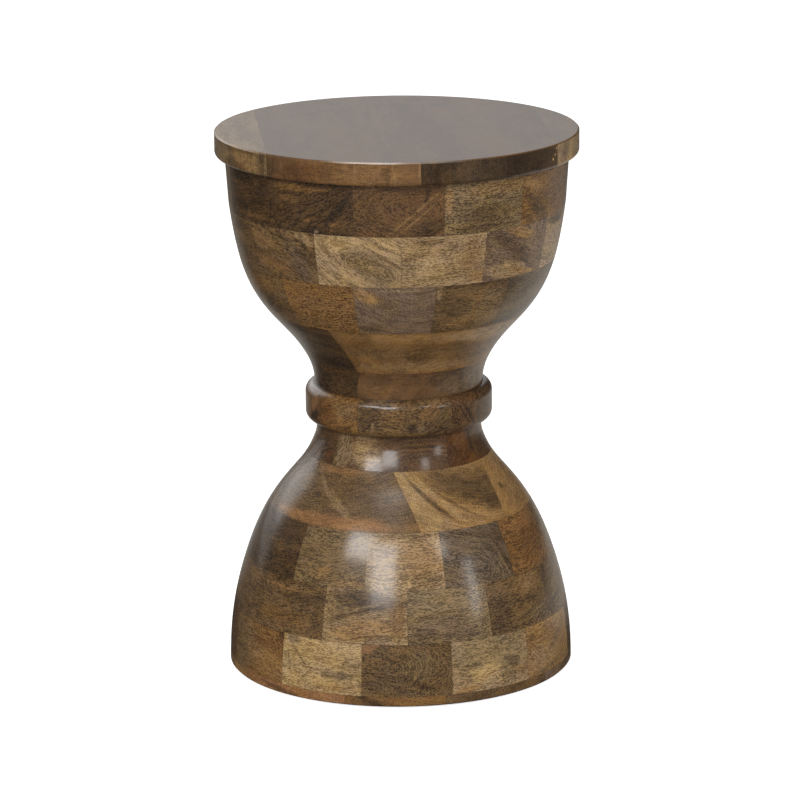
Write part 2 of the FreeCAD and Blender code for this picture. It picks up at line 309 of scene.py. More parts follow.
# wood tones: the lighter and the darker wood of a block, as screen colours
woodTones = {
    "straw": ((178, 151, 105), (121, 97, 63)),
    "sand": ((159, 133, 97), (98, 78, 53)),
    "honey": ((156, 122, 76), (102, 75, 44)),
    "ginger": ((160, 116, 73), (110, 77, 47)),
    "amber": ((133, 98, 55), (79, 55, 27)),
    "rust": ((104, 64, 28), (55, 33, 13)),
    "russet": ((113, 81, 49), (66, 46, 26)),
    "olive": ((130, 107, 73), (70, 55, 36)),
    "ash": ((120, 98, 76), (76, 60, 46)),
    "plum": ((110, 91, 69), (58, 47, 34)),
    "moss": ((142, 120, 86), (82, 69, 48)),
    "walnut": ((115, 89, 56), (59, 44, 26)),
    "cocoa": ((101, 72, 44), (47, 33, 18)),
    "umber": ((87, 64, 38), (39, 28, 15)),
    "ink": ((56, 41, 30), (30, 22, 17)),
}

# how a block was cut from its plank: slope of the grain on the face and into it, where the pith
# lies above the block's middle and behind its face, the rings' spacing, and strengths
woodCuts = {
    "level": dict(
        slant=0.02, plunge=0.06, pith=-62.0, deep=34.0, spacing=9.0, bands=0.4, streaks=1.0, flecks=0.5,
    ),
    "rising": dict(
        slant=0.35, plunge=0.1, pith=-40.0, deep=26.0, spacing=8.0, bands=0.45, streaks=1.0, flecks=0.4,
    ),
    "falling": dict(
        slant=-0.4, plunge=-0.1, pith=36.0, deep=26.0, spacing=8.0, bands=0.45, streaks=1.0, flecks=0.4,
    ),
    "ovals": dict(
        slant=0.05, plunge=0.42, pith=2.0, deep=12.0, spacing=6.0, bands=0.45, streaks=1.0, flecks=0.5,
    ),
    "arcs": dict(
        slant=-0.1, plunge=0.7, pith=6.0, deep=20.0, spacing=6.0, bands=0.5, streaks=1.2, flecks=0.4,
    ),
    "flecked": dict(
        slant=0.0, plunge=0.02, pith=-90.0, deep=50.0, spacing=12.0, bands=0.3, streaks=1.2, flecks=0.8,
    ),
    "calm": dict(
        slant=0.08, plunge=0.05, pith=-60.0, deep=60.0, spacing=16.0, bands=0.35, streaks=0.7, flecks=0.3,
    ),
}

# the blocks of a course take their cuts from colour ramps, which hold numbers from 0 to 1: the lowest
# value and the span of each number there
cutSpans = {
    "slant": (-1.0, 2.0), "plunge": (-2.0, 4.0), "pith": (-200.0, 400.0), "deep": (-200.0, 400.0),
    "spacing": (0.0, 40.0), "bands": (0.0, 1.0), "streaks": (0.0, 4.0), "flecks": (0.0, 1.0),
}

# the figure starts at another place in every block of a course and in every board of a slab
seedSteps = {"block": 93.0, "board": 2.0}

# lacquer, pores and glue: depths in metres, widths of lines in millimetres
finish = {
    "roughness": 0.5,
    "specular": 0.25,
    "coat": 0.8,
    "coatRoughness": 0.17,
    "poreDepth": 0.00012,
    "poreBump": 0.6,
    "poreShade": 0.55,
    "poreTint": (0.35, 0.31, 0.28, 1.0),
    "glue": (30, 21, 15),
    "joint": {"width": 0.5, "shade": 0.4},
    "level": {"width": 0.65, "shade": 0.25},
    "warm": (1.05, 1.0, 0.84, 1.0),
    "cool": (1.0, 0.985, 1.04, 1.0),
}


# one block or board: its tone, its cut, marks on its face, and changes to the cut
def block(tone, cut, *marks, **change):
    return {"tone": tone, "marks": marks, "cut": {**woodCuts[cut], **change}}


# blocks or boards without marks, each named by its tone and its cut
def plain(*kinds):
    return [block(*kind.split()) for kind in kinds]


# a patch of another tone: degrees from the front, height, half sizes, strength, degrees it leans
def mark(tone, angle, height, wide, tall, strength=0.6, lean=0.0, soft=0.45, wobble=1.0, lines=0.8):
    shape = {
        "At Angle": angle, "At Height": height, "Half Width": wide, "Half Height": tall,
        "Lean": lean, "Softness": soft, "Wobble": wobble,
    }
    return {"tone": tone, "shape": shape, "strength": strength, "lines": lines}


def newMaterial(name):
    material = bpy.data.materials.new(name)
    material.use_nodes = True
    tree = material.node_tree
    tree.nodes.clear()
    return material, tree


def objectPlace(tree, scale=1000.0):
    # object coordinates, in millimetres unless told otherwise
    coordinates = put(tree, "ShaderNodeTexCoord").outputs["Object"]
    wires = {0: coordinates, "Scale": scale}
    return put(tree, "ShaderNodeVectorMath", wires, operation="SCALE").outputs[0]


def choices(tree, number, colours):
    # one constant stop of a colour ramp for each block
    node = put(tree, "ShaderNodeValToRGB", {"Fac": number})
    steps = node.color_ramp
    steps.interpolation = "CONSTANT"
    while len(steps.elements) < len(colours):
        steps.elements.new(1.0)
    for place, colour in enumerate(colours):
        steps.elements[place].position = place / len(colours)
        steps.elements[place].color = colour
    return node.outputs["Color"]


def cutChoices(tree, number, cuts):
    # the numbers of each block's cut, three to a colour ramp
    names = list(cutSpans)
    values = {}
    for first in range(0, len(names), 3):
        three = names[first:first + 3]
        stops = []
        for cut in cuts:
            shares = [(cut[name] - cutSpans[name][0]) / cutSpans[name][1] for name in three]
            stops.append(shares + [1.0] * (4 - len(shares)))
        parts = put(tree, "ShaderNodeSeparateColor", {0: choices(tree, number, stops)}).outputs
        for name, part in zip(three, ("Red", "Green", "Blue")):
            low, span = cutSpans[name]
            values[name] = calc(tree, "MULTIPLY_ADD", parts[part], span, low)
    return values


def addFigure(tree, place, across, seed, cut, pithHeight, pithDepth):
    wires = {
        "Along": place["Along"], "Across": across, "Height": place["Height"], "Seed": seed,
        "Pith Height": pithHeight, "Pith Depth": pithDepth,
    }
    for part in ("slant", "plunge", "spacing", "bands", "streaks", "flecks"):
        wires[part.capitalize()] = cut[part]
    return useGroup(tree, woodFigure, wires)


def addMarks(tree, colour, tone, place, radius, marks, inside=None):
    if not marks:
        return colour
    edge = markGrain["wave"]
    side = calc(tree, "MULTIPLY", calc(tree, "RADIANS", place["Angle"]), radius)
    wavePlace = vector(
        tree,
        calc(tree, "MULTIPLY", side, edge["side"]),
        calc(tree, "MULTIPLY", place["Height"], edge["rise"]),
        radius,
    )
    wave = calc(tree, "SUBTRACT", noise(tree, wavePlace, *edge["noise"])[0], 0.5)
    common = {"Angle": place["Angle"], "Height": place["Height"], "Wave": wave, "Radius": radius}
    for entry in marks:
        shape = useGroup(tree, faceMark, {**common, **entry["shape"]})
        mask = calc(tree, "MULTIPLY", shape["Mask"], entry["strength"])
        if inside is not None:
            mask = calc(tree, "MULTIPLY", mask, inside)
        light, dark = woodTones[entry["tone"]]
        own = sway(tree, shape["Grain"], entry["lines"], tone, clamp=True)
        colour = mixColour(tree, mask, colour, mixColour(tree, own, tint(*dark), tint(*light)))
    return colour


def glueLine(tree, near, kind):
    return ramp(tree, near, 0.0, finish[kind]["width"], finish[kind]["shade"], 0.0)


def levelLine(tree, height, levels):
    # the joint under or over a course, whichever is nearer
    low = calc(tree, "SUBTRACT", height, levels[0])
    high = calc(tree, "SUBTRACT", levels[1], height)
    return glueLine(tree, calc(tree, "ABSOLUTE", calc(tree, "MINIMUM", low, high)), "level")


def lacquered(tree, colour, figure, joint):
    # satin lacquer over open pores and thin glue lines
    shift = mixColour(tree, figure["Drift"], finish["cool"], finish["warm"])
    colour = mixColour(tree, 1.0, colour, shift, "MULTIPLY")
    shade = calc(tree, "MULTIPLY", figure["Pores"], finish["poreShade"])
    dark = mixColour(tree, 1.0, colour, finish["poreTint"], "MULTIPLY")
    colour = mixColour(tree, shade, colour, dark)
    colour = mixColour(tree, joint, colour, tint(*finish["glue"]))
    bump = put(tree, "ShaderNodeBump", {
        "Height": calc(tree, "MULTIPLY", figure["Pores"], -1.0),
        "Distance": finish["poreDepth"],
        "Strength": finish["poreBump"],
    })
    shader = put(tree, "ShaderNodeBsdfPrincipled", {
        "Base Color": colour,
        "Roughness": finish["roughness"],
        "Coat Weight": finish["coat"],
        "Coat Roughness": finish["coatRoughness"],
        "Specular IOR Level": finish["specular"],
        "Normal": bump.outputs["Normal"],
    })
    put(tree, "ShaderNodeOutputMaterial", {"Surface": shader.outputs["BSDF"]})


def blockMaterial(name, course):
    # a ring of blocks, each with its own tone, cut and marks; lengths in millimetres
    material, tree = newMaterial(name)
    blocks = course["blocks"]
    count = len(blocks)
    place = useGroup(
        tree,
        blockPlace,
        {"Position": objectPlace(tree), "Turn": course["turn"], "Blocks": float(count)},
    )
    light = choices(tree, place["Block"], [tint(*woodTones[entry["tone"]][0]) for entry in blocks])
    dark = choices(tree, place["Block"], [tint(*woodTones[entry["tone"]][1]) for entry in blocks])
    cut = cutChoices(tree, place["Block"], [entry["cut"] for entry in blocks])
    seed = calc(tree, "MULTIPLY_ADD", place["Block"], seedSteps["block"], course["seed"])
    pithHeight = calc(tree, "ADD", cut["pith"], sum(course["levels"]) / 2)
    pithDepth = calc(tree, "SUBTRACT", course["radius"], cut["deep"])
    figure = addFigure(tree, place, place["Outward"], seed, cut, pithHeight, pithDepth)
    tone = held(tree, figure["Tone"])
    colour = mixColour(tree, tone, dark, light)
    for number, entry in enumerate(blocks):
        if entry["marks"]:
            # marks end at the joints of their own block
            inside = calc(tree, "COMPARE", place["Block"], (number + 0.5) / count, 0.01)
            colour = addMarks(tree, colour, tone, place, course["radius"], entry["marks"], inside)
    joint = glueLine(tree, place["Joint"], "joint")
    joint = calc(tree, "MAXIMUM", joint, levelLine(tree, place["Height"], course["levels"]))
    lacquered(tree, colour, figure, joint)
    return material


def flatFace(tree, colour, tone, place, slab, board):
    # the flat face has long soft streaks; the turned edge shows the board's own tone
    face = slab["face"]
    light, dark = (woodTones[name][0] for name in board["cut"].get("face", face["tones"]))
    along = calc(tree, "MULTIPLY_ADD", place["Along"], face["streak"][0], board["seed"])
    across = calc(tree, "MULTIPLY", place["Across"], face["streak"][1])
    streak = noise(tree, vector(tree, along, across, 0.0), *face["noise"])[0]
    streak = sway(tree, tone, face["grain"], ramp(tree, streak, *face["mask"]), clamp=True)
    flat = mixColour(tree, streak, tint(*dark), tint(*light))
    upper = ramp(tree, place["Height"], face["from"], slab["levels"][1])
    return mixColour(tree, calc(tree, "MULTIPLY", upper, face["strength"]), colour, flat)


def boardMaterial(name, slab, board, edges):
    # one board of a slab, with its grain along the board; edges are its two glued sides
    material, tree = newMaterial(name)
    place = useGroup(tree, boardPlace, {"Position": objectPlace(tree), "Turn": slab["turn"]})
    cut = board["cut"]
    pithHeight = sum(slab["levels"]) / 2 + cut["pith"]
    pithDepth = sum(edges) / 2 + cut["deep"]
    figure = addFigure(tree, place, place["Across"], board["seed"], cut, pithHeight, pithDepth)
    tone = held(tree, figure["Tone"])
    light, dark = woodTones[board["tone"]]
    colour = mixColour(tree, tone, tint(*dark), tint(*light))
    colour = addMarks(tree, colour, tone, place, slab["radius"], board["marks"])
    if "face" in slab:
        colour = flatFace(tree, colour, tone, place, slab, board)
    joint = levelLine(tree, place["Height"], slab["levels"])
    for edge in edges:
        if abs(edge) < slab["radius"]:
            near = calc(tree, "ABSOLUTE", calc(tree, "SUBTRACT", place["Across"], edge))
            joint = calc(tree, "MAXIMUM", joint, glueLine(tree, near, "joint"))
    lacquered(tree, colour, figure, joint)
    return material


def dress(node, material):
    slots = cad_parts[node].data.materials
    slots.clear()
    slots.append(material)


def dressCourse(name, course):
    dress(name, blockMaterial(name.replace("_", " "), course))


def dressSlab(name, slab):
    sides = [-slab["radius"]] + slab["joints"] + [slab["radius"]]
    for number, board in enumerate(slab["boards"]):
        board["seed"] = slab["seed"] + seedSteps["board"] * number
        node = "%s_%d" % (name, number + 1)
        dress(node, boardMaterial(node.replace("_", " "), slab, board, sides[number:number + 2]))


# courses of blocks: listed round the axis from the joint at "turn", the way the angle grows; the
# radius is that of the turned face, and makes millimetres of a mark's degrees
highBowlCourse = {
    "turn": 15.5, "seed": 3, "levels": (433, 480.5), "radius": 155,
    "blocks": [
        block(
            "olive", "level",
            mark("honey", 17, 465, 3, 14, 0.8, soft=0.3),
            mark("honey", 36, 472, 34, 6, 0.4),
            mark("umber", 30, 448, 25, 9, 0.65, soft=0.5, wobble=2),
            mark("umber", 27, 437.5, 22, 3, 0.7),
            streaks=1.51,
        ),
        block(
            "amber", "level",
            mark("honey", 50, 470, 16, 5, lean=-20),
            mark("umber", 54, 446, 24, 7, 0.7, lean=-38),
            mark("umber", 49, 438, 12, 3, lean=-30),
            mark("ash", 68, 462, 22, 20),
            streaks=1.11,
        ),
        *plain(
            "walnut level", "honey level", "umber falling", "olive level", "russet arcs",
            "sand rising", "walnut calm",
        ),
        block(
            "umber", "level",
            mark("ink", -50, 467, 8, 8, 0.5),
            mark("amber", -58, 440, 30, 2.5, 0.35),
            streaks=0.9,
        ),
        block(
            "umber", "rising",
            mark("amber", -34, 473, 26, 3.5, 0.7, wobble=2),
            mark("amber", -38, 463, 14, 3, 0.35, wobble=2),
            mark("ink", -20, 456, 25, 3.4, 0.75, lean=50),
            mark("russet", -19, 442, 10, 5, 0.5),
            mark("amber", -31.3, 444.3, 3.4, 1.5, lean=20),
            mark("amber", -22, 440, 4.5, 1.5, 0.5, lean=60),
            mark("ink", -28, 435, 6, 4, 0.85, soft=0.3),
            mark("ash", -27.8, 435, 2.8, 1.9, 0.9, lean=35, soft=0.3),
        ),
        block(
            "russet", "arcs",
            mark("ink", -1, 476, 12, 1.8),
            mark("honey", 5.2, 453.5, 30, 1.1, 0.75, lean=40, soft=0.6, wobble=0.3),
            mark("honey", 7.4, 451, 27, 0.9, 0.7, lean=40, soft=0.6, wobble=0.3),
            mark("umber", -2, 460, 50, 30, 0.4),
            mark("umber", 10.5, 440.5, 17, 8, 0.85, lean=18, soft=0.3),
            mark("ink", 9.8, 470, 7, 1.3, 0.8, lean=72),
            pith=2, deep=9, plunge=0.4, spacing=5, bands=0.5,
        ),
    ],
}
dressCourse("bowl_course_1", highBowlCourse)

middleBowlCourse = {
    "turn": 1.1, "seed": 11, "levels": (385.5, 433), "radius": 149,
    "blocks": [
        block(
            "sand", "level",
            mark("walnut", 11.5, 427.5, 11, 2.6, 0.75, wobble=0.6),
            mark("walnut", 17, 409, 50, 26, 0.22),
            mark("straw", 11, 404, 13, 10, 0.5, wobble=0.6),
            mark("walnut", 7, 416, 8, 2.5, 0.4, wobble=2),
            mark("walnut", 12, 395, 9, 2, 0.4, wobble=2),
            mark("amber", 26, 412, 16, 8.5, 0.5, lean=86),
            mark("walnut", 19, 420, 9, 1.2, 0.5, lean=60),
            mark("walnut", 19.6, 402, 10, 1.2, 0.45, lean=112),
            mark("walnut", 24, 410, 12, 1, 0.3, lean=80, wobble=2),
            mark("honey", 28.5, 393, 9, 6),
            streaks=1.13,
        ),
        block(
            "ash", "falling",
            mark("umber", 44, 412, 36, 6, 0.5, lean=-36, wobble=1.6),
            mark("sand", 42, 393, 24, 7.5, 0.9, lean=-4, soft=0.22, wobble=0.8),
            mark("honey", 52, 388.5, 20, 3.4, 0.85, lean=-12, soft=0.3),
            mark("honey", 46, 427.5, 18, 5, 0.8, lean=-18, soft=0.35, lines=1),
            streaks=1.34,
        ),
        block("sand", "level", mark("umber", 69.5, 429.5, 20, 5, 0.8, soft=0.3)),
        *plain(
            "honey arcs", "olive level", "umber rising", "straw level", "ash ovals", "walnut falling",
        ),
        block("walnut", "level", mark("umber", -66, 424, 20, 6, 0.4), streaks=0.93),
        block(
            "walnut", "falling",
            mark("honey", -53, 419, 14, 9, 0.5, lean=-20),
            mark("sand", -33, 427.5, 9, 4.6, 0.7, lean=-28, wobble=2.4, lines=2.4),
            mark("umber", -54, 407.5, 14, 3),
            mark("amber", -48, 399, 24, 6, 0.55, lean=-12),
            mark("plum", -36, 404, 24, 9, lean=-60),
            streaks=1.23,
        ),
        block(
            "sand", "falling",
            mark("straw", -20, 425, 28, 6.5, 0.75),
            mark("straw", -3, 428, 10, 4.5, 0.75, lean=-25),
            mark("olive", -8, 402, 30, 13, 0.7, lean=-36),
            mark("walnut", -3.5, 411, 16, 1.8, 0.7, lean=-34),
            mark("walnut", -13, 406, 14, 1.3, 0.45, lean=-30),
            mark("straw", -19, 393, 9, 2.4, lean=88),
            slant=-0.55, pith=1, deep=9.3, plunge=0.28, spacing=4.5, bands=0.9, streaks=0.9,
        ),
    ],
}
dressCourse("bowl_course_2", middleBowlCourse)

lowBowlCourse = {
    "turn": 13.7, "seed": 19, "levels": (338, 385.5), "radius": 132,
    "blocks": [
        block(
            "walnut", "calm",
            mark("umber", 21, 366, 14, 10, 0.3),
            mark("sand", 38, 360, 22, 16, 0.35),
            mark("sand", 15, 380, 8, 2.2, 0.5, lean=88, wobble=2),
            mark("amber", 30.5, 362, 14, 2.8, lean=86),
            mark("honey", 24, 348, 16, 4.5, 0.45, wobble=2),
            mark("umber", 26, 384, 22, 1.6),
        ),
        block("plum", "calm", mark("umber", 52, 371, 20, 13, 0.3), streaks=0.43),
        *plain(
            "umber level", "olive arcs", "honey level", "walnut ovals", "ash rising", "umber calm",
            "russet level",
        ),
        block("walnut", "calm", mark("amber", -62, 374, 26, 8), streaks=0.76),
        block("amber", "flecked", mark("walnut", -40, 345, 26, 5, 0.4), streaks=1.85),
        block(
            "ash", "arcs",
            mark("honey", -12, 377, 12, 6, 0.8, lean=-22, lines=1.4),
            mark("sand", 0.5, 382.3, 14, 1, wobble=0.4),
            mark("umber", -12, 343, 14, 3, 0.4),
            pith=40, deep=8, streaks=0.94,
        ),
    ],
}
dressCourse("bowl_course_3", lowBowlCourse)

collarRing = {
    "turn": 4, "seed": 27, "levels": (232, 266.5), "radius": 86,
    "blocks": [
        block(
            "walnut", "rising",
            mark("amber", 20, 256, 12, 6, lean=30),
            mark("umber", 22, 241, 20, 6, 0.7, wobble=2),
            mark("ink", 8, 242, 5, 4, 0.75, wobble=2),
            mark("olive", 13.5, 240, 5, 5, 0.5, wobble=2),
            streaks=1.38,
        ),
        block(
            "cocoa", "arcs",
            mark("ink", 49, 247, 14, 2.2, 0.65, lean=-55),
            mark("ink", 44, 249, 12, 1.4, 0.5, lean=-52),
            mark("umber", 39, 252, 14, 1.4, 0.5, lean=-48),
            streaks=2.1,
        ),
        *plain(
            "umber level", "olive ovals", "umber level", "honey rising", "walnut falling",
            "umber calm", "olive level",
        ),
        block(
            "russet", "arcs",
            mark("ginger", -64, 254, 10, 5, 0.5, lean=80),
            mark("ink", -64, 243, 9, 4.5, 0.8, lean=30),
            streaks=0.88,
        ),
        block(
            "amber", "rising",
            mark("rust", -51, 250, 16, 12, lean=-60),
            mark("olive", -36, 255, 12, 7, 0.5, lean=-20),
            mark("umber", -36, 238, 10, 3, 0.5),
            streaks=0.9,
        ),
        block(
            "walnut", "flecked",
            mark("umber", -19, 252, 10, 11, 0.65, soft=0.3),
            mark("sand", -27, 255, 4, 1, 0.7, lean=88),
            mark("sand", -16.5, 242, 4, 1.4, lean=80),
            mark("amber", -4, 252, 10, 8, 0.5, wobble=2),
        ),
    ],
}
dressCourse("collar_ring", collarRing)

highBellCourse = {
    "turn": 16.8, "seed": 35, "levels": (106.3, 153.8), "radius": 132,
    "blocks": [
        block(
            "plum", "arcs",
            mark("umber", 43.5, 128, 20, 1.8, 0.55, lean=-66, wobble=0.4),
            mark("umber", 33, 148, 18, 1.6, 0.5, lean=-8, wobble=0.4),
            mark("sand", 43, 122, 14, 1, 0.5, lean=-72, wobble=0.4),
            mark("umber", 44.5, 142, 9, 7, 0.5, lean=-45),
            slant=-0.16, pith=-8, deep=-6, plunge=0.4, spacing=4.5, bands=0.8, streaks=1.8,
        ),
        block(
            "amber", "flecked",
            mark("rust", 62, 128, 40, 24, 0.35, wobble=2),
            mark("ginger", 62, 146, 24, 6, 0.35, wobble=2),
            slant=0.12, streaks=2.4,
        ),
        *plain(
            "walnut level", "honey level", "umber arcs", "olive rising", "sand level", "walnut calm",
            "umber falling",
        ),
        block("umber", "level", mark("walnut", -52, 132, 18, 6, 0.4), streaks=1.4),
        block(
            "olive", "level",
            mark("walnut", -29, 128, 36, 24, 0.35),
            mark("umber", -37, 134, 6, 1.8, 0.7, wobble=2),
            mark("honey", -30.5, 117, 8, 4.5, lean=30, wobble=2),
            mark("honey", -20, 110, 16, 4, 0.55),
            mark("walnut", -22, 135, 12, 16, 0.4),
        ),
        block(
            "sand", "flecked",
            mark("honey", 8, 132, 26, 16, wobble=2),
            mark("walnut", 1, 151, 32, 2.4, 0.55, wobble=1.5),
            mark("walnut", 10.5, 115, 13, 6, wobble=2.5),
            streaks=1.64,
        ),
    ],
}
dressCourse("bell_course_1", highBellCourse)

middleBellCourse = {
    "turn": 2.4, "seed": 43, "levels": (58.8, 106.3), "radius": 149,
    "blocks": [
        block(
            "olive", "level",
            mark("moss", 12, 94, 44, 14),
            mark("walnut", 12, 84, 24, 1.8, lean=8, wobble=1.5),
            mark("ash", 16, 72, 32, 9),
            mark("umber", 8, 68, 10, 5, 0.4, wobble=2),
            streaks=1.4,
        ),
        block(
            "walnut", "level",
            mark("honey", 53, 97, 18, 7.5, wobble=1.6),
            mark("umber", 37, 76, 12, 14, 0.5),
            mark("umber", 51, 84, 26, 1.8, 0.5),
            mark("olive", 52, 70, 20, 5, 0.4),
            streaks=1.54,
        ),
        block("walnut", "rising", mark("umber", 65, 84, 8, 26, 0.7)),
        *plain("honey ovals", "walnut rising", "sand level", "russet calm", "umber arcs", "olive level"),
        block("walnut", "level", mark("amber", -65, 100, 16, 4, 0.5), streaks=1.16),
        block(
            "walnut", "level",
            mark("umber", -36, 92, 26, 5, wobble=1.4),
            mark("umber", -44, 104, 30, 2),
            mark("ginger", -48, 98, 24, 1.1, lean=-1, wobble=0.8),
            mark("amber", -50, 94, 18, 1, 0.5, wobble=0.8),
            mark("amber", -46, 72, 30, 8, 0.5),
            mark("umber", -30, 84, 5, 22, 0.35),
            streaks=1.4,
        ),
        block(
            "sand", "level",
            mark("walnut", -12, 80, 44, 26, 0.3),
            mark("umber", -12, 97, 40, 9, 0.8, lean=-3, wobble=1.6, lines=2),
            mark("umber", -17, 86, 24, 3, 0.75, lean=18, wobble=1.6),
            mark("sand", -14, 90, 22, 1.6, lean=16, wobble=1.6),
            mark("honey", -13, 71, 28, 8.5, 0.8, lean=9, soft=0.3),
            mark("amber", -1, 80, 16, 7, 0.7, lean=88),
            mark("umber", -10, 66, 14, 1.2, lean=4),
            streaks=1.46,
        ),
    ],
}
dressCourse("bell_course_2", middleBellCourse)

lowBellCourse = {
    "turn": 17, "seed": 51, "levels": (11.3, 58.8), "radius": 157,
    "blocks": [
        block(
            "sand", "level",
            mark("moss", 31, 42, 46, 18, 0.8),
            mark("straw", 29, 26.5, 15, 8, 0.9, lean=5, soft=0.3, wobble=1.6, lines=0.6),
            mark("honey", 22.5, 14, 14, 3, 0.8, lean=8, soft=0.3),
            mark("umber", 40, 34, 9, 4.5, lean=-25, wobble=2.4),
            mark("plum", 38, 22, 7, 8, 0.5, lean=50, wobble=2),
            mark("honey", 44, 24, 8, 3.6, 0.8, wobble=1.6),
            mark("umber", 24, 35.5, 10, 1.4),
            streaks=1.16,
        ),
        block(
            "honey", "level",
            mark("ash", 66, 40, 24, 4, 0.5, lean=26),
            mark("plum", 60, 16, 24, 2.6, lean=8),
            mark("sand", 56, 28, 22, 11, 0.5),
            mark("umber", 50, 48, 5, 3, wobble=2),
            streaks=1.08,
        ),
        *plain(
            "walnut ovals", "umber level", "honey rising", "olive arcs", "walnut level",
            "straw level", "russet calm",
        ),
        block(
            "amber", "falling",
            mark("olive", -68, 38, 24, 26, 0.75),
            mark("honey", -51, 26, 26, 12, 0.8, lean=-14),
            mark("umber", -44, 55, 3, 5, 0.8),
            mark("rust", -52, 46, 20, 2, 0.4),
            slant=-0.12, streaks=1.19,
        ),
        block(
            "straw", "level",
            mark("walnut", -36, 42, 16, 1.2, 0.55, lean=-48, wobble=1.4),
            mark("walnut", -40, 35, 14, 1, 0.45, lean=-80),
            mark("walnut", -33.5, 24, 14, 1.2, 0.5, lean=48, wobble=0.5),
            mark("honey", -37.5, 32, 10, 1.4, lean=-80, wobble=0.5),
            mark("ash", -38, 55, 9, 3, 0.75, wobble=2),
            mark("ash", -22, 29, 15, 3.5, 0.65, lean=-6, wobble=2),
            mark("olive", -17, 36, 12, 12, 0.5, wobble=2),
            mark("walnut", -24, 27, 10, 1.2),
            mark("honey", -22, 17, 24, 3.5),
            streaks=1.11,
        ),
        block(
            "walnut", "arcs",
            mark("olive", 6, 38, 16, 12, lean=20),
            mark("umber", 7, 21, 22, 3, 0.55, lean=-24),
            mark("olive", 9, 14, 20, 3.5, 0.5),
            mark("ginger", -10.8, 56, 8, 4, lean=22, soft=0.4),
            pith=4, deep=-7.5, plunge=0.42, spacing=5, bands=0.5, streaks=2,
        ),
    ],
}
dressCourse("bell_course_3", lowBellCourse)
print("courses of blocks in place")

# slabs of boards: joints are the glued edges, left to right, as distances from the axis
topBoards = {
    "turn": 4.8, "levels": (480.5, 502), "radius": 165.8, "joints": [-124.4, 7.3, 135.3], "seed": 61,
    "face": {
        "tones": ("russet", "umber"), "streak": (0.004, 0.02), "noise": (4.0, 0.62, 0.4), "mask": (0.3, 0.7),
        "grain": 0.9, "from": 500.4, "strength": 0.92,
    },
    "boards": [
        block(
            "olive", "level",
            mark("umber", -61, 487, 14, 6),
            mark("rust", -57, 500, 30, 2.5, 0.5),
            mark("umber", -46, 492, 14, 3, 0.7, lean=88),
            mark("honey", -54, 490, 20, 7, lean=-10),
            mark("rust", -57, 486, 8, 3, 0.5, wobble=2),
            pith=0, deep=240, streaks=0.5, face=("sand", "walnut"),
        ),
        block(
            "russet", "level",
            mark("umber", -42.5, 492, 14, 9, lean=86),
            mark("amber", -12, 492, 50, 12, 0.75),
            mark("honey", -13, 494, 9, 1.2, 0.3, lean=88, wobble=2),
            mark("honey", -1, 494, 12, 2.4, 0.3, lean=92, wobble=2),
            mark("honey", 6.8, 495, 9, 0.7, lean=90, wobble=1.2),
            mark("rust", -30, 488, 30, 9, 0.45, lean=10),
            pith=0, deep=240, bands=0.2, streaks=0.21,
        ),
        block(
            "umber", "calm",
            mark("plum", 26, 492, 24, 12, 0.3),
            mark("ink", 42, 492, 44, 14, 0.7),
            mark("straw", 58.8, 498.6, 1.1, 1.1, 1, soft=0.3, wobble=0),
            mark("straw", 58, 493.3, 0.9, 1.1, 0.8, soft=0.3, wobble=0),
            mark("straw", 56.9, 489.6, 1, 1.2, 1, soft=0.3, wobble=0),
            pith=0, deep=240, streaks=0.32,
        ),
        block(
            "sand", "level",
            # these ash and straw patches at the rim's right end are partly the board's lighter wood and
            # partly a painted sheen
            mark("ash", 66, 497, 14, 8, lean=60),
            mark("straw", 71, 489, 14, 6, 0.5, lean=70),
            pith=0, deep=240, streaks=0.45,
        ),
    ],
}
dressSlab("top_board", topBoards)

bowlFloorBoards = {
    "turn": -44, "levels": (292.2, 338), "radius": 100, "joints": [-71, 25], "seed": 73,
    "boards": [
        block("umber", "level"),
        block(
            "umber", "rising",
            mark("plum", -55, 318, 30, 14, 0.4),
            mark("ink", -36, 300, 20, 6, 0.5),
        ),
        block(
            "amber", "calm",
            mark("honey", 12, 331, 60, 5.5, lean=-2, wobble=0.5),
            mark("sand", 50, 329, 44, 8, 0.8, lean=-4, soft=0.3, wobble=0.5),
            mark("walnut", 8, 314, 58, 8, 0.75, lean=-2, wobble=0.5),
            mark("walnut", 50, 311, 40, 8, 0.75, lean=-3, soft=0.3, wobble=0.5),
            mark("sand", 12, 300, 60, 5.5, 0.35),
            streaks=0.2,
        ),
    ],
}
dressSlab("bowl_floor_board", bowlFloorBoards)

upperNeckBoards = {
    "turn": 20.5, "levels": (266.5, 292.2), "radius": 79, "joints": [-59.3], "seed": 79,
    "boards": [
        block("umber", "calm", mark("rust", -48, 290, 18, 2, 0.5)),
        block(
            "russet", "calm",
            mark("amber", -14, 274, 16, 8, 0.5),
            mark("cocoa", 14, 287, 50, 8),
            mark("plum", 50, 280, 34, 14, 0.8),
            streaks=0.1,
        ),
    ],
}
dressSlab("upper_neck_board", upperNeckBoards)

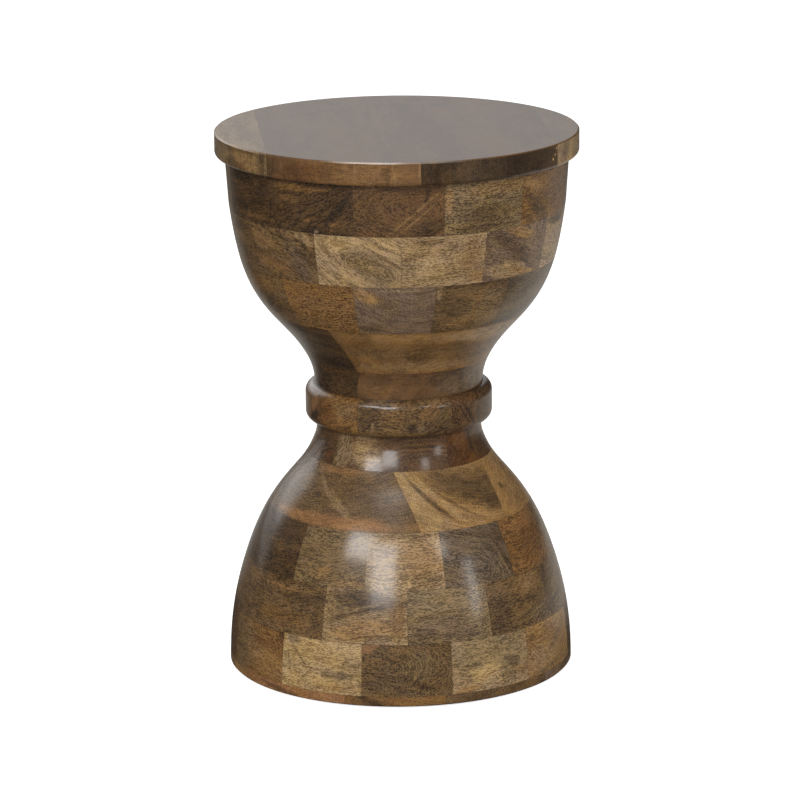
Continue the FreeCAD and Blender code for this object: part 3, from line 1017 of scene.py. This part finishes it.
lowerNeckBoards = {
    "turn": 13.8, "levels": (201.3, 232), "radius": 78, "joints": [27], "seed": 83,
    "boards": [
        block(
            "cocoa", "level",
            mark("umber", -60, 216, 20, 18, 0.7),
            mark("rust", -52, 209, 5, 4, 0.7),
            mark("sand", -40, 216, 18, 9, lean=88, lines=2.2),
            mark("sand", -23, 217, 14, 15, 0.75, lean=2, soft=0.35, lines=2.6),
            mark("straw", -24, 219, 11, 2.4, lean=3, wobble=2),
            mark("straw", -22, 211, 11, 2, lean=-3, wobble=2),
            mark("walnut", -20, 226, 14, 1.6, 0.5, lean=-3, wobble=2),
            mark("cocoa", 2, 222, 30, 12),
            streaks=1.22,
        ),
        block(
            "rust", "calm",
            mark("umber", 44, 212, 24, 10, 0.3),
            mark("ginger", 45, 224, 9, 7, 0.25),
            mark("umber", 68, 217, 18, 18, 0.8, soft=0.5),
            mark("ink", 56.5, 219, 14, 2, 0.7, lean=100),
            streaks=0.8,
        ),
    ],
}
dressSlab("lower_neck_board", lowerNeckBoards)

shoulderBoards = {
    "turn": 35, "levels": (153.8, 201.3), "radius": 104, "joints": [-53, 38], "seed": 87,
    "boards": [
        block(
            "walnut", "rising",
            mark("ginger", -30, 159, 66, 5, 0.75, soft=0.4, wobble=0.6),
            mark("ginger", -40, 199, 34, 3.5, 0.45),
            mark("sand", -40, 180, 30, 1.8, 0.5, lean=-32),
            mark("sand", -30, 172, 16, 2.4, 0.5, lean=-36),
            mark("plum", -5, 176, 24, 13, 0.8, lean=-58),
            slant=-0.45, pith=40, streaks=1.25,
        ),
        block(
            "honey", "falling",
            mark("straw", 3, 194, 22, 6, 0.9, lean=-28),
            mark("straw", 12, 171, 22, 9, 0.45, lean=-55),
            mark("sand", 14, 163, 24, 8, 0.5, lean=-20),
            mark("walnut", 37, 188, 48, 14, 0.95, lean=-16),
            mark("walnut", 52, 180, 22, 18, 0.8, soft=0.3),
            mark("umber", 44, 180, 30, 8, 0.4, lean=-24, wobble=2),
            mark("straw", 20, 179, 34, 2.8, 0.5, lean=-44),
            mark("umber", 14, 180, 28, 2, 0.75, lean=-42, wobble=0.6),
            mark("umber", 30, 171, 26, 1.4, 0.5, lean=-34, wobble=0.6),
            mark("honey", 40, 157, 26, 3, 0.5),
            streaks=1.14,
        ),
        block("honey", "calm", mark("umber", 64, 177, 3, 2.6, 0.8, wobble=2), streaks=1.17),
    ],
}
dressSlab("shoulder_board", shoulderBoards)

baseBoards = {
    "turn": 0, "levels": (2, 11.3), "radius": 159, "joints": [-142.1, -50.8, 40.5, 131.8], "seed": 93,
    "boards": [
        block("honey", "level"),
        block("ginger", "level", mark("umber", -45, 6, 24, 2, lean=-6, wobble=2)),
        block("amber", "falling", mark("umber", -10, 6, 14, 4, 0.8, lean=-18)),
        block("walnut", "level", mark("umber", 24, 6, 16, 6, 0.3)),
        block("ash", "level"),
    ],
}
dressSlab("base_board", baseBoards)
print("boards in place")

# the hidden dowel is plain pale beech, and the pads are grey felt
dowelWood = {
    "light": (206, 178, 140),
    "dark": (176, 144, 104),
    "seed": 5.0,
    "pithHeight": 60.0,
    "pithDepth": 10.0,
    "cut": dict(slant=0.0, plunge=0.01, spacing=5.0, bands=0.4, streaks=0.4, flecks=0.3),
}
felt = {
    "fibre": (92, 88, 82),
    "shade": (58, 55, 51),
    "fibreScale": 2.2,
    "noise": (4.0, 0.7, 1.5),
    "mask": (0.35, 0.65),
    "bump": 0.0004,
    "roughness": 0.95,
}


def dressDowel():
    material, tree = newMaterial("waist dowel")
    parts = split(tree, objectPlace(tree))
    place = {"Along": parts["Z"], "Height": parts["Y"]}
    figure = addFigure(
        tree, place, parts["X"], dowelWood["seed"], dowelWood["cut"],
        dowelWood["pithHeight"], dowelWood["pithDepth"],
    )
    tone = held(tree, figure["Tone"])
    colour = mixColour(tree, tone, tint(*dowelWood["dark"]), tint(*dowelWood["light"]))
    lacquered(tree, colour, figure, 0.0)
    dress("waist_dowel", material)


def dressPads():
    material, tree = newMaterial("felt")
    place = objectPlace(tree, 1000.0 * felt["fibreScale"])
    fibre = noise(tree, place, *felt["noise"])[0]
    shade = ramp(tree, fibre, *felt["mask"])
    bump = put(tree, "ShaderNodeBump", {"Height": fibre, "Distance": felt["bump"]})
    shader = put(tree, "ShaderNodeBsdfPrincipled", {
        "Base Color": mixColour(tree, shade, tint(*felt["shade"]), tint(*felt["fibre"])),
        "Roughness": felt["roughness"],
        "Normal": bump.outputs["Normal"],
    })
    put(tree, "ShaderNodeOutputMaterial", {"Surface": shader.outputs["BSDF"]})
    dress("floor_pads", material)


dressDowel()
dressPads()
print("dowel and pads in place")

# camera at the photograph's angle, in metres and degrees
cameraSetup = {
    "place": (0.0, -3.8412, 1.2258),
    "pitchDown": 14.296,
    "yaw": -0.016,
    "roll": -0.453,
    "lens": 193.44,
    "sensor": 36.0,
}


def addCamera():
    data = bpy.data.cameras.new("photo camera")
    data.lens = cameraSetup["lens"]
    data.sensor_width = cameraSetup["sensor"]
    camera = bpy.data.objects.new("photo camera", data)
    bpy.context.scene.collection.objects.link(camera)
    tilt = Matrix.Rotation(math.radians(90 - cameraSetup["pitchDown"]), 4, "X")
    spin = Matrix.Rotation(math.radians(cameraSetup["yaw"]), 4, "Z")
    roll = Matrix.Rotation(math.radians(cameraSetup["roll"]), 4, "Z")
    camera.matrix_world = Matrix.Translation(cameraSetup["place"]) @ spin @ tilt @ roll
    bpy.context.scene.camera = camera


# floor and studio light; every way is an azimuth from the front and an elevation, in degrees; the
# mirror is what the polished wood sees of the floor: its pale part lies behind, and a little right,
# and close round the foot it holds a painted contact shadow
studio = {
    "floorSize": 60.0,
    "floorColour": (0.82, 0.82, 0.82, 1.0),
    "mirrorFront": (0.05, 0.045, 0.04, 1.0),
    "mirrorBack": (0.50, 0.46, 0.40, 1.0),
    "mirrorRight": (0.5, 0.15),
    "mirrorTurn": (0.65, 1.0),
    # painted contact shadow in the mirrored floor: dark within the first distance from the axis, clear past
    # the second, in metres
    "mirrorContactShadow": (0.17, 0.42),
    "mirrorFar": (0.8, 2.5, 1.0, 0.25),
    "mirrorGlow": 0.13,
    "floorGlow": 0.8,
    "worldLight": 0.45,
    "dimSheen": 0.03,
    "middle": 0.25,
    "lights": [
        {"name": "key", "way": (-36.0, 33.5), "far": 2.6, "size": (0.85, 0.66), "power": 17.5},
        {"name": "front", "way": (-13.0, 26.0), "far": 4.4, "size": (1.3, 1.8), "power": 63.0},
        {"name": "small", "way": (36.0, 32.0), "far": 2.8, "size": (0.4, 0.5), "power": 3.6},
        {"name": "side", "way": (54.0, 13.0), "far": 2.8, "size": (0.35, 0.9), "power": 5.0},
        {"name": "fill", "way": (66.0, 24.0), "far": 2.8, "size": (1.6, 1.6), "power": 20.0, "hidden": True},
    ],
    "panels": [
        {"way": (-157.0, 12.0), "half": (35.0, 27.0), "soft": 4.0, "glow": 0.52},
        {"way": (-149.0, 36.0), "half": (24.0, 26.0), "soft": 3.0, "glow": 1.15},
        {"way": (-42.0, 80.0), "half": (50.0, 12.0), "soft": 4.0, "glow": 12.0},
        {"way": (55.0, 80.0), "half": (46.0, 12.0), "soft": 4.0, "glow": 3.0},
    ],
}


def addFloor():
    bpy.ops.object.select_all(action="DESELECT")
    bpy.ops.mesh.primitive_plane_add(size=studio["floorSize"], location=(0, 0, 0))
    floor = bpy.context.object
    floor.name = "studio_floor"
    material, tree = newMaterial("pale floor")
    rays = put(tree, "ShaderNodeLightPath").outputs
    # polished wood mirrors a dim floor, so its tones stay deep
    parts = split(tree, put(tree, "ShaderNodeTexCoord").outputs["Object"])
    away = reach(tree, parts["X"], parts["Y"])
    toRight = calc(tree, "MULTIPLY_ADD", calc(tree, "DIVIDE", parts["X"], away), *studio["mirrorRight"])
    behind = calc(tree, "ADD", calc(tree, "DIVIDE", parts["Y"], away), calc(tree, "MAXIMUM", toRight, 0.0))
    behind = ramp(tree, behind, *studio["mirrorTurn"])
    # the mirrored floor is darkened close round the foot as a painted contact shadow, and fades far off
    for spread in ("mirrorContactShadow", "mirrorFar"):
        behind = calc(tree, "MULTIPLY", behind, ramp(tree, away, *studio[spread]))
    mirrored = mixColour(tree, behind, studio["mirrorFront"], studio["mirrorBack"])
    pale = mixColour(tree, rays["Is Glossy Ray"], studio["floorColour"], mirrored)
    diffuse = put(tree, "ShaderNodeBsdfDiffuse", {"Color": pale})
    seen = calc(tree, "MULTIPLY", rays["Is Camera Ray"], studio["floorGlow"])
    # the shadow behind the table still mirrors a little light
    lifted = calc(tree, "MULTIPLY", behind, studio["mirrorGlow"])
    lifted = calc(tree, "MULTIPLY", lifted, rays["Is Glossy Ray"])
    glow = put(tree, "ShaderNodeEmission", {"Strength": calc(tree, "ADD", seen, lifted)})
    both = put(tree, "ShaderNodeAddShader", {0: diffuse.outputs[0], 1: glow.outputs[0]})
    put(tree, "ShaderNodeOutputMaterial", {"Surface": both.outputs[0]})
    floor.data.materials.append(material)


def panelSheen(tree, azimuth, elevation, panel):
    turn = calc(tree, "ABSOLUTE", calc(tree, "SUBTRACT", azimuth, panel["way"][0]))
    turn = calc(tree, "MINIMUM", turn, calc(tree, "SUBTRACT", 360.0, turn))
    rise = calc(tree, "ABSOLUTE", calc(tree, "SUBTRACT", elevation, panel["way"][1]))
    sheen = []
    for far, half in zip((turn, rise), panel["half"]):
        sheen.append(ramp(tree, far, half - panel["soft"], half + panel["soft"], 1.0, 0.0))
    return calc(tree, "MULTIPLY", calc(tree, "MULTIPLY", *sheen), panel["glow"])


def addWorld():
    world = bpy.data.worlds.new("studio")
    bpy.context.scene.world = world
    world.use_nodes = True
    tree = world.node_tree
    tree.nodes.clear()
    # polished wood mirrors pale panels behind it and a dim room elsewhere
    rays = put(tree, "ShaderNodeLightPath").outputs
    way = split(tree, put(tree, "ShaderNodeTexCoord").outputs["Generated"])
    azimuth = roundAxis(tree, way["X"], way["Y"])
    elevation = calc(tree, "DEGREES", calc(tree, "ARCSINE", way["Z"]))
    sheen = studio["dimSheen"]
    for panel in studio["panels"]:
        sheen = calc(tree, "ADD", panelSheen(tree, azimuth, elevation, panel), sheen)
    strength = mixValue(tree, rays["Is Glossy Ray"], studio["worldLight"], sheen)
    seen = calc(tree, "MAXIMUM", rays["Is Camera Ray"], rays["Is Transmission Ray"])
    strength = mixValue(tree, seen, strength, 1.0)
    back = put(tree, "ShaderNodeBackground", {"Color": (1.0, 1.0, 1.0, 1.0), "Strength": strength})
    put(tree, "ShaderNodeOutputWorld", {"Surface": back.outputs[0]})


def addLights():
    middle = Matrix.Translation((0, 0, studio["middle"]))
    for light in studio["lights"]:
        data = bpy.data.lights.new(light["name"], "AREA")
        data.shape = "RECTANGLE"
        data.size, data.size_y = light["size"]
        data.energy = light["power"]
        lamp = bpy.data.objects.new(light["name"], data)
        lamp.visible_glossy = not light.get("hidden", False)
        bpy.context.scene.collection.objects.link(lamp)
        azimuth, elevation = (math.radians(angle) for angle in light["way"])
        turn = Matrix.Rotation(azimuth, 4, "Z") @ Matrix.Rotation(math.pi / 2 - elevation, 4, "X")
        lamp.matrix_world = middle @ turn @ Matrix.Translation((0, 0, light["far"]))


addCamera()
addFloor()
addWorld()
addLights()
bpy.context.scene.view_settings.view_transform = "Standard"
print("camera, floor and lights in place")
